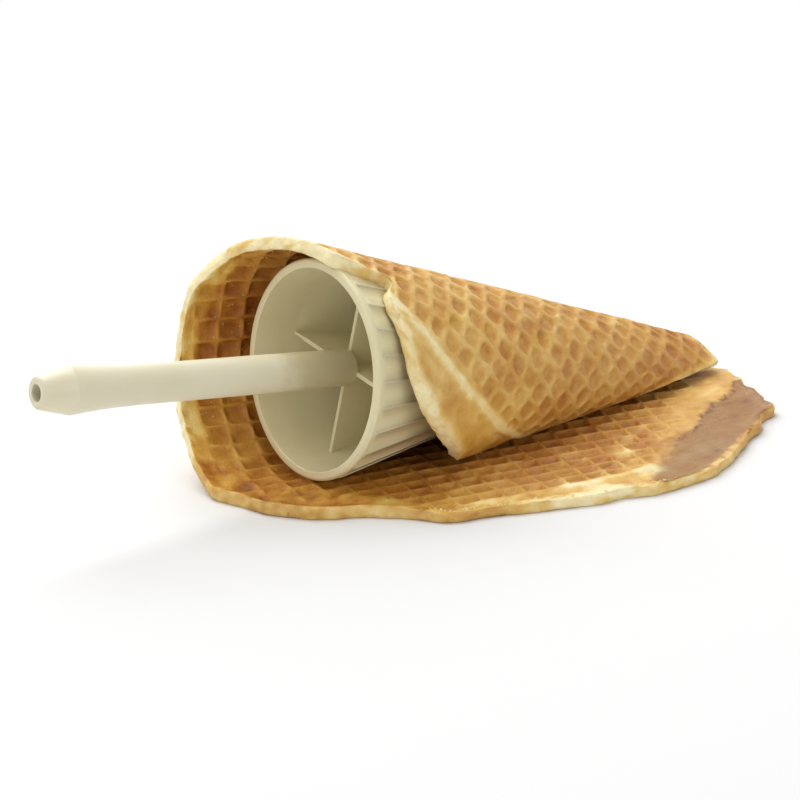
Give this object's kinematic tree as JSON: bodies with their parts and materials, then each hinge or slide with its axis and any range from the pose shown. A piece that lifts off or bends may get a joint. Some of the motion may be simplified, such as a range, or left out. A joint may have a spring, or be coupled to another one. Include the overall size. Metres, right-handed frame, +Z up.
{
  "type": "krumkake cone roller with wafer",
  "caption": "Hollow ribbed cone form on a tube handle, lying on a round baked wafer that is partly rolled around it.",
  "frame": {"origin": "on the surface that the wafer lies on, straight below the centre of the form's mouth", "axes": "+X along the form from its mouth towards its nose, level; +Y towards the curled side of the wafer; +Z up"},
  "size_m": [0.229, 0.1229, 0.0709],
  "materials": {
    "form_plastic": "cream moulded plastic, fine satin",
    "handle_plastic": "cream moulded plastic, smooth satin",
    "baked_wafer": "crisp baked batter, golden with browner hollows"
  },
  "bodies": {
    "rolled_wafer": {"wafer": "baked_wafer"},
    "roller": {"cone_form": "form_plastic", "tube_handle": "handle_plastic"}
  },
  "joints": [
    {"name": "roller_draw", "type": "slide", "parent": "rolled_wafer", "child": "roller", "axis": [-0.9856, 0, 0.1692], "range_m": [0, 0.15]}
  ]
}
